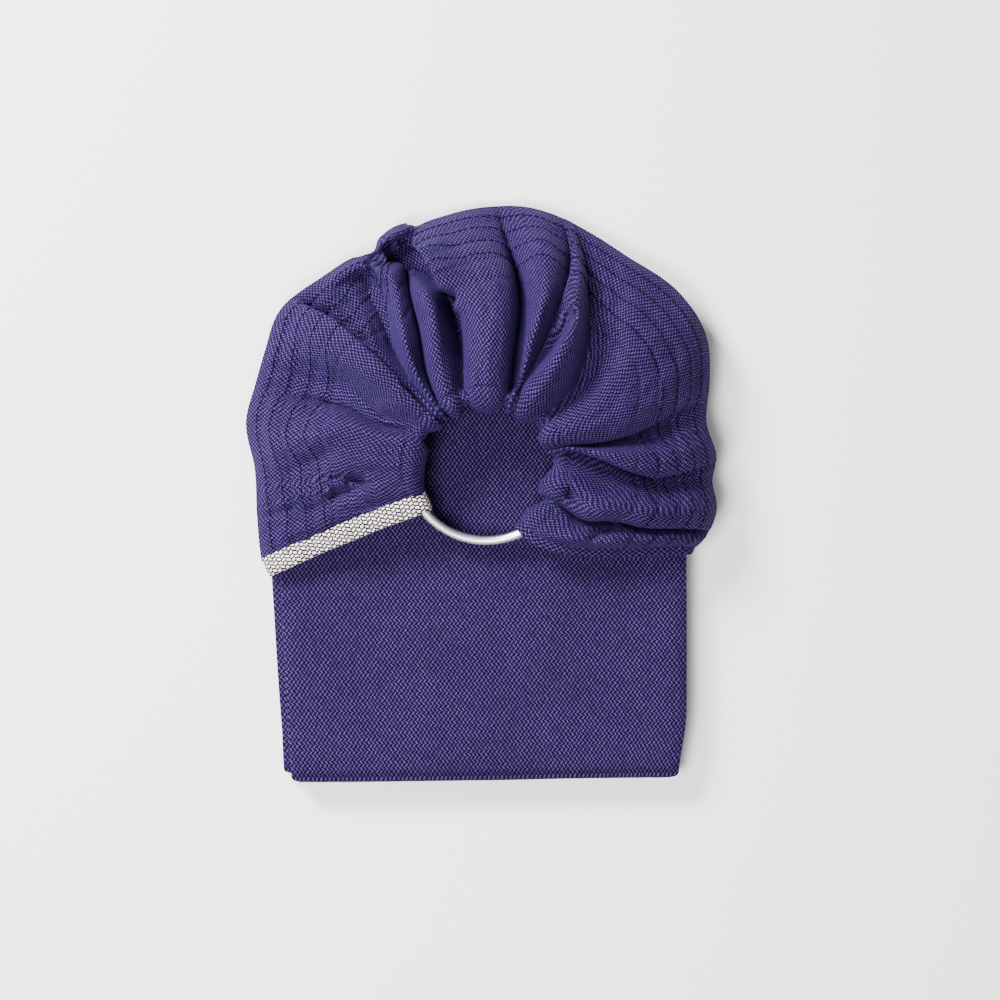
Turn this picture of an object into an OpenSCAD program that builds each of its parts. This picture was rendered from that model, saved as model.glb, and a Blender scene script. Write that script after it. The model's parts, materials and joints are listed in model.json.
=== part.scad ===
// Ring sling (baby carrier), folded for storage.
// A long strip of cloth, folded in thirds and then in a zigzag of seven panels.
// Its shoulder end is gathered through two rings, fanned out and laid on top.

/* [Packet of folded cloth] */
// Width of the folded strip
panel_w = 225; // [200:1:250]
// Corner radius of each folded panel
panel_corner_r = 7; // [2:0.5:12]
// Thickness of one panel, which is three layers of cloth
panel_t = 2.55; // [1.8:0.05:3]
// Space between one panel and the next
panel_gap = 0.35; // [0.3:0.05:0.6]
// Width of the hem at the free end of the tail
tail_hem_w = 14; // [8:1:25]

/* [Rings] */
// Outer diameter of each ring
ring_od = 90; // [80:0.5:96]
// Diameter of the ring's wire
wire_d = 5; // [4:0.1:6]
// Tilt of both rings, with the head side raised
ring_tilt = 18; // [10:1:22]
// Height of the lower ring's centre
back_ring_z = 39; // [38:0.5:44]
// Height of the upper ring above the lower one
ring_pitch = 5.6; // [5.6:0.1:7]

/* [Shoulder] */
// Thickness of the fan where its rim is turned under
rim_t = 7.5; // [6:0.5:12]
// Depth of the pleats on the fan's upper face
pleat_depth = 2.4; // [0:0.1:4]
// Number of pleats across the fan
pleat_count = 9; // [5:1:14]
// Width of the contrast rail
rail_w = 10; // [6:0.5:14]
// Diameter of a row of stitching
seam_d = 1.2; // [0.8:0.1:2]
// Distance from the rim to the first row of stitching
seam_first = 10; // [8:1:14]
// Distance between rows of stitching
seam_pitch = 11; // [8:0.5:13]

/* [Hidden] */
$fn = 64;

panel_count = 7;
panel_pitch = panel_t + panel_gap;
deck_z = (panel_count - 1) * panel_pitch + panel_t;
// The fold lines lie at these two ends, and each panel stops just short of them.
foot_y = -161;
head_y = 99;
fold_clear = 0.3;
// Sideways place of each panel's middle, from the bottom one up.
panel_x = [-2.5, -1.5, -3.5, -1, -3, 0, 1];

// Middle of the rings, in plan.
ring_x = 3;
ring_y = 15;
ring_r = (ring_od - wire_d) / 2;
rings_mid_z = back_ring_z + ring_pitch / 2;

// Rim of the fan about the middle of the rings: [angle, radius].
rim = [
    [-23, 122], [-11, 130], [-3, 126], [12, 125], [30, 142], [42, 145], [57, 142], [80, 148],
    [94, 145], [106, 141], [116, 142], [120, 137], [143, 144], [160, 137], [169, 136],
    [180, 129], [192, 130], [207, 140]
];
// The fan's side edges aren't radial, so the angles differ at the rings and at the rim.
ring_from = -62;
ring_to = 211;
rim_from = -23;
rim_to = 205;

// The cloth wraps the two wires as an oval sleeve: half sizes of its outside and its inside.
sleeve_out = [7, 10];
sleeve_in = [3.9, 6.6];
// Directions of the sleeve's outer points, from the outward top round the hole to the underside.
sleeve_angles = [55, 90, 120, 150, 180, 210, 240, 270, 300];
// Places of the other section points, from the rings at 0 to the rim at 1.
under_v = [0.12, 0.24, 0.36, 0.48, 0.6, 0.72, 0.84, 0.95];
over_v = [0.97, 0.88, 0.75, 0.6, 0.45, 0.3, 0.15];

// The overhanging cloth droops past the edges of the packet.
deck_clear = 1.1;
head_droop = 0.26;
side_droop = 0.35;
side_x = 118;
apron_t = 2.2;
// The rails' middle lies this far below the fan's upper face, clear of the wire.
rail_drop = 1;
rail_h = 4;

fan_steps = 56;
seam_steps = 56;
cloth_blue = [0.20, 0.17, 0.45];
thread_blue = [0.12, 0.10, 0.32];
rail_cream = [0.86, 0.82, 0.72];
ring_grey = [0.75, 0.76, 0.78];

function mix(a, b, t) = a + (b - a) * t;
function ease(t) = (1 - cos(180 * t)) / 2;
function span(a, i = 0) = i >= len(rim) - 2 || a < rim[i + 1][0] ? i : span(a, i + 1);
function rim_r(a) =
    let (i = span(a), p = rim[i], q = rim[i + 1], t = (a - p[0]) / (q[0] - p[0]))
    mix(p[1], q[1], ease(max(0, min(1, t))));

// Height of the packet's top, and of the apron beyond it.
function deck(x, y) =
    deck_z - head_droop * max(0, y - head_y) - side_droop * max(0, abs(x) - side_x);

// Plan radius of the ring's wire in the direction a, and the height of the rings' middle there.
function wire_r(a) = ring_r / sqrt(pow(cos(a), 2) + pow(sin(a) / cos(ring_tilt), 2));
function wire_z(a) = rings_mid_z + wire_r(a) * sin(a) * tan(ring_tilt);

// A place on the fan: u runs across the cloth, v from the rings to the rim.
function fan_a(u, v) = mix(mix(ring_from, ring_to, u), mix(rim_from, rim_to, u), v);
function fan_r(u, v) =
    let (edge_a = fan_a(u, 1), ring_a = fan_a(u, 0))
    mix(wire_r(ring_a), rim_r(edge_a), v);
function plan(u, v) =
    let (a = fan_a(u, v), r = fan_r(u, v))
    [ring_x + r * cos(a), ring_y + r * sin(a)];
function under_z(u, v) =
    let (
        p = plan(u, v),
        floor_z = deck(p[0], p[1]) + deck_clear,
        sleeve_z = wire_z(fan_a(u, 0)) - sleeve_out[1]
    )
    mix(floor_z, max(floor_z, sleeve_z), pow(1 - v, 3));
function over_z(u, v) =
    let (
        p = plan(u, v),
        rim_z = deck(p[0], p[1]) + deck_clear + rim_t,
        crest_z = wire_z(fan_a(u, 0)) + sleeve_out[1] - 1,
        pleat = pleat_depth * sin(360 * pleat_count * u) * sin(180 * pow(v, 0.7))
    )
    mix(crest_z, rim_z, pow(v, 0.9)) + pleat;

function sleeve_point(u, f, half) =
    let (
        a = fan_a(u, 0),
        r = wire_r(a) + half[0] * cos(f),
        z = wire_z(a) + half[1] * sin(f)
    )
    [ring_x + r * cos(a), ring_y + r * sin(a), z];
function lift(p) = [p[0], p[1], max(p[2], deck_z + deck_clear)];
function at_under(u, v) = concat(plan(u, v), under_z(u, v));
function at_over(u, v) = concat(plan(u, v), over_z(u, v));
function at_rim(u) = concat(plan(u, 1), under_z(u, 1) + rim_t / 2);

function section(u) = concat(
    [for (f = sleeve_angles) lift(sleeve_point(u, f, sleeve_out))],
    [for (v = under_v) at_under(u, v)],
    [at_rim(u)],
    [for (v = over_v) at_over(u, v)]
);
// The tunnel's point that faces a point p of the section.
function tunnel_point(u, p) =
    let (
        a = fan_a(u, 0),
        out = norm([p[0] - ring_x, p[1] - ring_y]) - wire_r(a),
        up = p[2] - wire_z(a),
        s = 1 / norm([out / sleeve_in[0], up / sleeve_in[1]]),
        r = wire_r(a) + s * out
    )
    [ring_x + r * cos(a), ring_y + r * sin(a), wire_z(a) + s * up];

// Faces of a tube of rings, each ring with n points, k rings in all.
function walls(n, k, flip = false, from = 0) = [
    for (i = [0:k - 2], j = [0:n - 1])
    let (
        a = from + i * n + j,
        b = from + i * n + (j + 1) % n,
        c = b + n,
        d = a + n
    )
    flip ? [d, c, b, a] : [a, b, c, d]
];

// A flat bar that follows a path of points: w across in plan, h high.
module bar(path, w, h) {
    last = len(path) - 1;
    rings = [
        for (i = [0:last])
        let (
            ahead = path[min(last, i + 1)] - path[max(0, i - 1)],
            side = [-ahead[1], ahead[0], 0] / norm([ahead[0], ahead[1]])
        )
        for (f = [22.5:45:360])
            path[i] + side * (w / 2 * cos(f) / cos(22.5)) + [0, 0, h / 2 * sin(f) / cos(22.5)]
    ];
    polyhedron(
        points = rings,
        faces = concat(
            walls(8, last + 1),
            [[for (j = [7:-1:0]) j], [for (j = [0:7]) last * 8 + j]]
        ),
        convexity = 6
    );
}

module round_rect(x0, x1, y0, y1, r) {
    translate([x0 + r, y0])
        square([x1 - x0 - 2 * r, y1 - y0]);
    translate([x0, y0 + r])
        square([x1 - x0, y1 - y0 - 2 * r]);
    for (x = [x0 + r, x1 - r], y = [y0 + r, y1 - r])
        translate([x, y])
            circle(r);
}

module panel(i) {
    x = panel_x[i - 1];
    color(cloth_blue)
        translate([0, 0, (i - 1) * panel_pitch])
            linear_extrude(panel_t)
                difference() {
                    round_rect(x - panel_w / 2, x + panel_w / 2,
                        foot_y + fold_clear, head_y - fold_clear, panel_corner_r);
                    if (i == 1)
                        translate([x - panel_w, foot_y - 1])
                            square([2 * panel_w, tail_hem_w + 1]);
                }
}

module tail_hem() {
    x = panel_x[0];
    color(thread_blue)
        linear_extrude(panel_t)
            intersection() {
                round_rect(x - panel_w / 2, x + panel_w / 2,
                    foot_y + fold_clear, head_y - fold_clear, panel_corner_r);
                translate([x - panel_w, foot_y - 1])
                    square([2 * panel_w, tail_hem_w + 1]);
            }
}

// The cloth between the top panel and the fan's far rim, drooping past the packet.
module head_apron() {
    from_a = 41;
    to_a = 139;
    steps = 28;
    inset = 3;
    start_y = head_y - 0.8;
    rings = [
        for (i = [0:steps])
        let (
            a = mix(from_a, to_a, i / steps),
            near = (start_y - ring_y) / sin(a),
            far = rim_r(a) - inset
        )
        for (q = [[0, 0], [0.33, 0], [0.67, 0], [1, 0], [1, 1], [0.67, 1], [0.33, 1], [0, 1]])
            let (r = mix(near, far, q[0]), x = ring_x + r * cos(a), y = ring_y + r * sin(a))
            [x, y, deck(0, y) - apron_t * (1 - q[1])]
    ];
    color(cloth_blue)
        polyhedron(
            points = rings,
            faces = concat(
                walls(8, steps + 1, true),
                [[for (j = [0:7]) j], [for (j = [7:-1:0]) steps * 8 + j]]
            ),
            convexity = 6
        );
}

module shoulder_gather() {
    skin = [for (i = [0:fan_steps]) section(i / fan_steps)];
    n = len(skin[0]);
    rings = fan_steps + 1;
    tunnel = [
        for (i = [0:fan_steps])
        [for (p = skin[i]) tunnel_point(i / fan_steps, p)]
    ];
    inner = n * rings;
    last = n * fan_steps;
    caps = concat(
        [for (j = [0:n - 1]) [j, inner + j, inner + (j + 1) % n, (j + 1) % n]],
        [
            for (j = [0:n - 1])
            [last + (j + 1) % n, inner + last + (j + 1) % n, inner + last + j, last + j]
        ]
    );
    color(cloth_blue)
        polyhedron(
            points = concat([for (s = skin) each s], [for (t = tunnel) each t]),
            faces = concat(walls(n, rings), walls(n, rings, true, inner), caps),
            convexity = 10
        );
}

// Edge of the fan's upper leaf, from the hole to the rim, moved out by d at u = 0 or u = 1.
function edge_path(u, d) = [
    for (v = [0, 0.1, 0.2, 0.35, 0.5, 0.65, 0.8, 0.9, 0.98])
    let (
        p = plan(u, v),
        a = fan_a(u, v),
        way = u > 0.5 ? 1 : -1
    )
    [p[0] - way * d * sin(a), p[1] + way * d * cos(a), over_z(u, v) - rail_drop]
];

module contrast_rail() {
    color(rail_cream)
        bar(edge_path(1, rail_w / 2 - 0.5), rail_w, rail_h);
}

module plain_rail() {
    color(thread_blue)
        bar(edge_path(0, rail_w / 4 - 0.5), rail_w / 2, rail_h);
}

module seam_row(k) {
    inset = seam_first + (k - 1) * seam_pitch;
    color(thread_blue)
        bar(
            [
                for (i = [0:seam_steps])
                let (
                    u = mix(0.02, 0.98, i / seam_steps),
                    v = 1 - inset / (rim_r(fan_a(u, 1)) - ring_r)
                )
                at_over(u, v)
            ],
            seam_d, seam_d
        );
}

module ring(height) {
    color(ring_grey)
        translate([ring_x, ring_y, height])
            rotate([ring_tilt, 0, 0])
                rotate_extrude()
                    translate([ring_r, 0])
                        circle(d = wire_d);
}

tail_hem();
panel(1);  // panel_1
panel(2);  // panel_2
panel(3);  // panel_3
panel(4);  // panel_4
panel(5);  // panel_5
panel(6);  // panel_6
panel(7);  // panel_7
head_apron();
shoulder_gather();
contrast_rail();
plain_rail();
seam_row(1);  // seam_row_1
seam_row(2);  // seam_row_2
seam_row(3);  // seam_row_3
seam_row(4);  // seam_row_4
ring(back_ring_z + ring_pitch);  // front_ring
ring(back_ring_z);  // back_ring
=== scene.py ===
import json
import math
from collections import namedtuple

import bmesh
import bpy
import numpy as np
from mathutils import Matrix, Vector


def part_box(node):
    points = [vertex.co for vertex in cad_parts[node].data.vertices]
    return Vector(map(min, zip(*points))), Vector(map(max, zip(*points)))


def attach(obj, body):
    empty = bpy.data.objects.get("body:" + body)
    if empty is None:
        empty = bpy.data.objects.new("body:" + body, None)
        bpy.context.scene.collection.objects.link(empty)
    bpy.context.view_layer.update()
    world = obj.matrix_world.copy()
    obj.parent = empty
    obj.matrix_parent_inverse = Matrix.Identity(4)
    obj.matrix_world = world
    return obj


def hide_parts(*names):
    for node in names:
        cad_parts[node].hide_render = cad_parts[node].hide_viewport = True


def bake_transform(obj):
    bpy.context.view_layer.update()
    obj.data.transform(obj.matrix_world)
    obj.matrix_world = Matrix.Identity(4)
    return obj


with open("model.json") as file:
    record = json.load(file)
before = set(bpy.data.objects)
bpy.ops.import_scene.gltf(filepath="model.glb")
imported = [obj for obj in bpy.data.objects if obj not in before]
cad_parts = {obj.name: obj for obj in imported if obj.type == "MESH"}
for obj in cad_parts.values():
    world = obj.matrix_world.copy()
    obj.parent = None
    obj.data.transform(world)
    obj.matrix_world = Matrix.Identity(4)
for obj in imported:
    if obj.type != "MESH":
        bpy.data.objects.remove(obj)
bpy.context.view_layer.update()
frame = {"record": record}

# ---------------------------------------------------------------- measures, in metres
MM = 0.001
LAYER = 0.95 * MM               # one layer of cloth in the packet
CLOTH = 0.85 * MM               # thickness of the cloth itself
RAIL_W = 10 * MM                # width of the contrast rail
THREAD_R = 0.33 * MM            # radius of the sewing thread
STITCH = 2.7 * MM               # length of one stitch
STITCH_STEP = 3.6 * MM          # from one stitch to the next
SEAM_INSETS = [9 * MM, 20 * MM, 32 * MM, 44 * MM]    # from the rim in to each row of stitches

joints = {j["name"]: j for j in frame["record"]["behaviour"]["joints"]}
PANELS = 1 + sum(name.startswith("unfold_") for name in joints)
panel_box = [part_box(f"panel_{k + 1}") for k in range(PANELS)]
FOOT_Y = joints["unfold_2"]["pos_m"][1]
HEAD_Y = joints["unfold_1"]["pos_m"][1]
PITCH = panel_box[1][0][2] - panel_box[0][0][2]    # from one panel up to the next
DECK = panel_box[-1][1][2]      # top of the packet
RING_X, RING_Y, FRONT_Z = joints["front_ring_turn"]["pos_m"]
BACK_Z = joints["back_ring_turn"]["pos_m"][2]
RING_N = joints["front_ring_turn"]["axis"]
TILT = math.atan2(-RING_N[1], RING_N[2])
ring_low, ring_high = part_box("front_ring")
WIRE_R = 2.5 * MM               # radius of the rings' wire
RING_R = (ring_high[0] - ring_low[0]) / 2 - WIRE_R


# ---------------------------------------------------------------- small tools
def smooth(t):
    t = np.clip(t, 0, 1)
    return t * t * (3 - 2 * t)


def knots(table, x):
    """Smooth curve through given points: table is [(x, value), ...] in order of x."""
    xs = np.array([p[0] for p in table], float)
    ys = np.array([p[1] for p in table], float)
    x = np.clip(np.asarray(x, float), xs[0], xs[-1])
    i = np.clip(np.searchsorted(xs, x, side="right") - 1, 0, len(xs) - 2)
    slope = np.gradient(ys, xs)
    h = xs[i + 1] - xs[i]
    t = (x - xs[i]) / h
    a = (1 + 2 * t) * (1 - t) ** 2
    b = t * (1 - t) ** 2 * h
    c = t * t * (3 - 2 * t)
    d = t * t * (t - 1) * h
    return a * ys[i] + b * slope[i] + c * ys[i + 1] + d * slope[i + 1]


class Noise:
    """Smooth noise from a seeded lattice, about -1 to 1."""

    SIZE = 64

    def __init__(self, seed):
        self.lattice = np.random.default_rng(seed).uniform(-1, 1, (self.SIZE, self.SIZE))

    def __call__(self, x, y):
        x, y = np.broadcast_arrays(np.asarray(x, float), np.asarray(y, float))
        i, j = np.floor(x).astype(int), np.floor(y).astype(int)
        fx, fy = smooth(x - i), smooth(y - j)
        g = self.lattice
        i0, i1, j0, j1 = (n % self.SIZE for n in (i, i + 1, j, j + 1))
        low = g[i0, j0] * (1 - fx) + g[i1, j0] * fx
        high = g[i0, j1] * (1 - fx) + g[i1, j1] * fx
        return low * (1 - fy) + high * fy


def octaves(noise, x, y, count):
    """Noise with count layers, each twice as fine and half as strong as the one before."""
    return sum(noise(x * 2**k + 7 * k, y * 2**k + 3 * k) / 2**k for k in range(count))


def run_length(line):
    """Distance along a line of points, from its first point to each of them."""
    return np.concatenate([[0], np.cumsum(np.linalg.norm(np.diff(line, axis=0), axis=1))])


def face_corners(grid):
    """The four corner values of each face of a grid, as [rows - 1, columns - 1, 4, ...]."""
    return np.stack([grid[:-1, :-1], grid[:-1, 1:], grid[1:, 1:], grid[1:, :-1]], axis=2)


def unit(vectors):
    return vectors / np.linalg.norm(vectors, axis=1)[:, None]


def grid_piece(name, points, uv_faces, slot_of=None):
    """Mesh of a grid of points [rows, columns, 3]. uv_faces is [rows - 1, columns - 1, 4, 2]."""
    rows, cols = points.shape[:2]
    quads = face_corners(np.arange(rows * cols).reshape(rows, cols)).reshape(-1, 4)
    uv = uv_faces.reshape(-1, 4, 2)
    mesh = bpy.data.meshes.new(name)
    mesh.from_pydata(points.reshape(-1, 3).tolist(), [], quads.tolist())
    layer = mesh.uv_layers.new(name="weave")
    layer.data.foreach_set("uv", uv.reshape(-1).astype(np.float32))
    if slot_of is not None:
        mesh.polygons.foreach_set("material_index", slot_of.reshape(-1).astype(np.int32))
    mesh.polygons.foreach_set("use_smooth", np.ones(len(quads), bool))
    mesh.update()
    piece = bpy.data.objects.new(name, mesh)
    bpy.context.scene.collection.objects.link(piece)
    return piece


def thicken(piece, thickness=CLOTH):
    """Gives a sheet its thickness, half on each side, as real faces."""
    solid = piece.modifiers.new("thickness", "SOLIDIFY")
    solid.thickness = thickness
    solid.offset = 0
    solid.use_even_offset = False
    bpy.context.view_layer.update()
    evaluated = piece.evaluated_get(bpy.context.evaluated_depsgraph_get())
    baked = bpy.data.meshes.new_from_object(evaluated)
    piece.modifiers.clear()
    piece.data = baked


def tube_mesh(bm, path, radii, sides=6):
    """Adds a round tube along path, a list of Vectors with a radius each, to bm."""
    rings = []
    side = None
    for i, p in enumerate(path):
        ahead = path[min(len(path) - 1, i + 1)] - path[max(0, i - 1)]
        ahead.normalize()
        if side is None:
            side = ahead.orthogonal().normalized()
        side = (side - ahead * side.dot(ahead)).normalized()
        up = ahead.cross(side)
        r = radii[i]
        rings.append([
            bm.verts.new(p + side * (r * math.cos(a)) + up * (r * math.sin(a)))
            for a in (2 * math.pi * k / sides for k in range(sides))
        ])
    for low, high in zip(rings, rings[1:]):
        for k in range(sides):
            bm.faces.new((low[k], low[(k + 1) % sides], high[(k + 1) % sides], high[k]))
    bm.faces.new(rings[0][::-1])
    bm.faces.new(rings[-1])


def piece_from(name, bm):
    bmesh.ops.recalc_face_normals(bm, faces=bm.faces)
    mesh = bpy.data.meshes.new(name)
    bm.to_mesh(mesh)
    bm.free()
    mesh.polygons.foreach_set("use_smooth", np.ones(len(mesh.polygons), bool))
    piece = bpy.data.objects.new(name, mesh)
    bpy.context.scene.collection.objects.link(piece)
    return piece


# ---------------------------------------------------------------- materials
class Nodes:
    """Short names for building a node material."""

    def __init__(self, name):
        self.material = bpy.data.materials.new(name)
        self.material.use_nodes = True
        self.tree = self.material.node_tree
        self.tree.nodes.clear()
        self.out = self.add("ShaderNodeOutputMaterial")
        self.shader = self.add("ShaderNodeBsdfPrincipled")
        self.link(self.shader.outputs[0], self.out.inputs[0])

    def add(self, kind, **settings):
        node = self.tree.nodes.new(kind)
        for key, value in settings.items():
            setattr(node, key, value)
        return node

    def link(self, a, b):
        self.tree.links.new(a, b)

    def put(self, socket, value):
        if isinstance(value, bpy.types.NodeSocket):
            self.link(value, socket)
        else:
            socket.default_value = value

    def math(self, operation, a, b=0.0, c=0.0, clamp=False):
        node = self.add("ShaderNodeMath", operation=operation, use_clamp=clamp)
        for socket, value in zip(node.inputs, (a, b, c)):
            self.put(socket, value)
        return node.outputs[0]

    def step(self, x, low, high):
        """0 at low, 1 at high, smooth between. low may be the greater."""
        node = self.add("ShaderNodeMapRange", interpolation_type="SMOOTHSTEP")
        self.put(node.inputs["Value"], x)
        node.inputs["From Min"].default_value = min(low, high)
        node.inputs["From Max"].default_value = max(low, high)
        node.inputs["To Min"].default_value = 0 if low < high else 1
        node.inputs["To Max"].default_value = 1 if low < high else 0
        return node.outputs[0]

    def mix(self, factor, a, b, blend="MIX"):
        node = self.add("ShaderNodeMix", data_type="RGBA", blend_type=blend)
        self.put(node.inputs["Factor"], factor)
        self.put(node.inputs["A"], a)
        self.put(node.inputs["B"], b)
        return node.outputs["Result"]

    def noise(self, vector, scale, detail=2.0, dimensions="3D"):
        node = self.add("ShaderNodeTexNoise", noise_dimensions=dimensions)
        self.put(node.inputs["Vector"], vector)
        node.inputs["Scale"].default_value = scale
        node.inputs["Detail"].default_value = detail
        return node.outputs["Fac"]

    def bump(self, height, distance, strength=1.0):
        node = self.add("ShaderNodeBump")
        self.put(node.inputs["Height"], height)
        node.inputs["Distance"].default_value = distance
        node.inputs["Strength"].default_value = strength
        return node.outputs["Normal"]


# The cross twill, in metres unless it says otherwise.
WANDER_SCALE = 170              # how often the yarns wander, per metre
WANDER = (1.1 * MM, 0.9 * MM, 0)  # and how far they may be shifted by it
SLANT = 0.36                    # how far a float leans over in one row, in float spacings
DULL, SHINY = 0.86, 0.70        # roughness of the gaps and of the floats
FIBRE_SCALE = 2600              # fibres in the yarn, per metre
BLOTCH_SCALE = 22               # uneven dye, per metre
BLOTCH_DARK, BLOTCH_LIGHT = (0.90, 0.89, 0.93, 1), (1.07, 1.07, 1.05, 1)


def wandering(n, uv):
    """The UV map's two parts, shifted a little by noise, as the yarns are."""
    noise = n.add("ShaderNodeTexNoise", noise_dimensions="2D")
    n.put(noise.inputs["Vector"], uv)
    noise.inputs["Scale"].default_value = WANDER_SCALE
    noise.inputs["Detail"].default_value = 1
    shift = n.add("ShaderNodeVectorMath", operation="MULTIPLY_ADD")
    n.put(shift.inputs[0], noise.outputs["Color"])
    shift.inputs[1].default_value = WANDER
    n.put(shift.inputs[2], uv)
    split = n.add("ShaderNodeSeparateXYZ")
    n.link(shift.outputs[0], split.inputs[0])
    return split.outputs[0], split.outputs[1]


def weave_material(name, dark, light, sheen, across_w=2.48 * MM, row_h=1.80 * MM, body=(0.25, 0.12),
                   ends=(0.54, 0.43), depth=0.28 * MM):
    """Cross twill: short slanted floats in rows that lean one way and then the other.

    across_w and row_h are the spacing of the floats; body and ends are where a float's sides and
    tips fade out, as shares of that spacing from its middle; depth is how far the floats stand up.
    """
    n = Nodes(name)
    uv = n.add("ShaderNodeUVMap", uv_map="weave").outputs["UV"]
    u, v = wandering(n, uv)
    across = n.math("DIVIDE", u, across_w)
    along = n.math("DIVIDE", v, row_h)
    row = n.math("FLOOR", along)
    in_row = n.math("SUBTRACT", n.math("FRACT", along), 0.5)
    odd = n.math("SUBTRACT", n.math("MULTIPLY", n.math("MODULO", n.math("ABSOLUTE", row), 2.0), 2.0), 1.0)
    slant = n.math("MULTIPLY", n.math("MULTIPLY", in_row, odd), SLANT)
    # Every other row is offset by half a float, which gives the broken look of the twill.
    place = n.math("ADD", n.math("ADD", across, slant), n.math("MULTIPLY", odd, 0.25))
    cell = n.math("FLOOR", place)
    in_cell = n.math("ABSOLUTE", n.math("SUBTRACT", n.math("FRACT", place), 0.5))
    float_mask = n.math("MULTIPLY", n.step(in_cell, *body), n.step(n.math("ABSOLUTE", in_row), *ends))
    # Some floats are brighter than others.
    ident = n.add("ShaderNodeCombineXYZ")
    n.put(ident.inputs[0], cell)
    n.put(ident.inputs[1], row)
    pick = n.add("ShaderNodeTexWhiteNoise", noise_dimensions="2D")
    n.link(ident.outputs[0], pick.inputs["Vector"])
    vary = n.math("MULTIPLY_ADD", pick.outputs["Value"], 0.5, 0.62)
    level = n.math("MULTIPLY", float_mask, vary, clamp=True)
    fibre = n.noise(uv, FIBRE_SCALE, 2.0, "2D")
    level = n.math("MULTIPLY", level, n.math("MULTIPLY_ADD", fibre, 0.7, 0.65), clamp=True)
    colour = n.mix(level, (*dark, 1), (*light, 1))
    blotch = n.noise(uv, BLOTCH_SCALE, 3.0, "2D")
    tint = n.mix(n.step(blotch, 0.3, 0.7), BLOTCH_DARK, BLOTCH_LIGHT)
    colour = n.mix(1.0, colour, tint, "MULTIPLY")
    n.put(n.shader.inputs["Base Color"], colour)
    n.put(n.shader.inputs["Roughness"], n.math("MULTIPLY_ADD", float_mask, SHINY - DULL, DULL))
    n.shader.inputs["Specular IOR Level"].default_value = 0.09
    n.shader.inputs["Sheen Weight"].default_value = 0.07
    n.shader.inputs["Sheen Roughness"].default_value = 0.45
    n.shader.inputs["Sheen Tint"].default_value = (*sheen, 1)
    height = n.math("ADD", float_mask, n.math("MULTIPLY", fibre, 0.25))
    n.put(n.shader.inputs["Normal"], n.bump(height, depth, 0.8))
    return n.material


def thread_material(name, colour):
    n = Nodes(name)
    place = n.add("ShaderNodeTexCoord").outputs["Object"]
    twist = n.noise(place, 2500, 2.0)
    n.put(n.shader.inputs["Base Color"],
          n.mix(twist, (*(0.6 * c for c in colour), 1), (*(1.4 * c for c in colour), 1)))
    n.shader.inputs["Roughness"].default_value = 0.9
    n.shader.inputs["Specular IOR Level"].default_value = 0.05
    n.put(n.shader.inputs["Normal"], n.bump(twist, 0.1 * MM, 0.6))
    return n.material


def ring_material(name):
    """Satin anodised aluminium: a fine grain, and cloudy patches that are a little duller."""
    n = Nodes(name)
    place = n.add("ShaderNodeTexCoord").outputs["Object"]
    cloud = n.noise(place, 60, 4.0)
    grain = n.noise(place, 4200, 2.0)
    n.put(n.shader.inputs["Base Color"],
          n.mix(cloud, (0.80, 0.80, 0.82, 1), (0.90, 0.90, 0.91, 1)))
    n.shader.inputs["Metallic"].default_value = 1.0
    n.put(n.shader.inputs["Roughness"], n.math("MULTIPLY_ADD", cloud, 0.16, 0.30))
    n.put(n.shader.inputs["Normal"], n.bump(grain, 0.02 * MM, 0.5))
    return n.material


cloth_mat = weave_material("sling_cloth", dark=(0.0018, 0.0003, 0.0125), light=(0.055, 0.030, 0.130),
                           sheen=(0.28, 0.18, 0.95))
rail_mat = weave_material("rail_cloth", dark=(0.010, 0.008, 0.020), light=(0.95, 0.86, 0.74),
                          sheen=(1, 1, 1), across_w=2.3 * MM, row_h=2.5 * MM, body=(0.33, 0.25),
                          ends=(0.43, 0.35), depth=0.35 * MM)
thread_mat = thread_material("thread", (0.0028, 0.0014, 0.015))
ring_mat = ring_material("ring_metal")


# ---------------------------------------------------------------- packet: one strip, folded
STRIP_W = 227 * MM              # width of the folded strip
# How far each panel's left side is pulled in at the foot, and its sideways shift.
PANEL_TAPER = [mm * MM for mm in (4, 5, 7, 6.5, 7, 6.5, 6.5)]
PANEL_SHIFT = [mm * MM for mm in (-1.5, -2.5, -3.8, -3.0, -3.8, 1.0, 1.5)]
TURN_BACK = 2.6 * MM            # the middle of each fold's turn lies this far inside the hinge
CORNER_R = 3.2 * MM             # radius of the packet's corners
FOOT_SLANT = 2.2 * MM           # the foot edge runs up by this much towards the right
RIGHT_IN, RIGHT_RUN = 4 * MM, 38 * MM   # the right edge runs in by this much near the foot
LOWER_IN = 3.6 * MM             # the lower folds stop this far short of the foot, at the left
ROLL_IN, ROLL = 22 * MM, 0.18   # the foot edge is rolled down: how far in, and what share of z
ROLL_SHAPE = 1.7                # above 1, the roll starts gently
SIDE_IN, SIDE_ROLL = 6 * MM, 0.06  # the same for the two sides
OUTER_FREE, INNER_FREE = 5 * MM, 7 * MM  # from the packet's sides in to the strip's two free edges
TAPER_Y, TAPER_RUN = -45 * MM, 115 * MM  # the left side's taper starts here and is full this far on
FOOT_RUN_Y, FOOT_RUN = 20 * MM, 180 * MM  # the same for the slant of the foot edge
SIDE_WAVE, END_WAVE = 0.7 * MM, 0.8 * MM  # unevenness of the sides and of the head and foot
END_Y, END_RUN = 90 * MM, 30 * MM        # from the packet's middle to where the end waves start
SWELL = 0.022                   # share of the height that the stack swells and sinks by
LEN_STEPS = 48
TURN_STEPS = 10
packet_noise = Noise(11)


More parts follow.
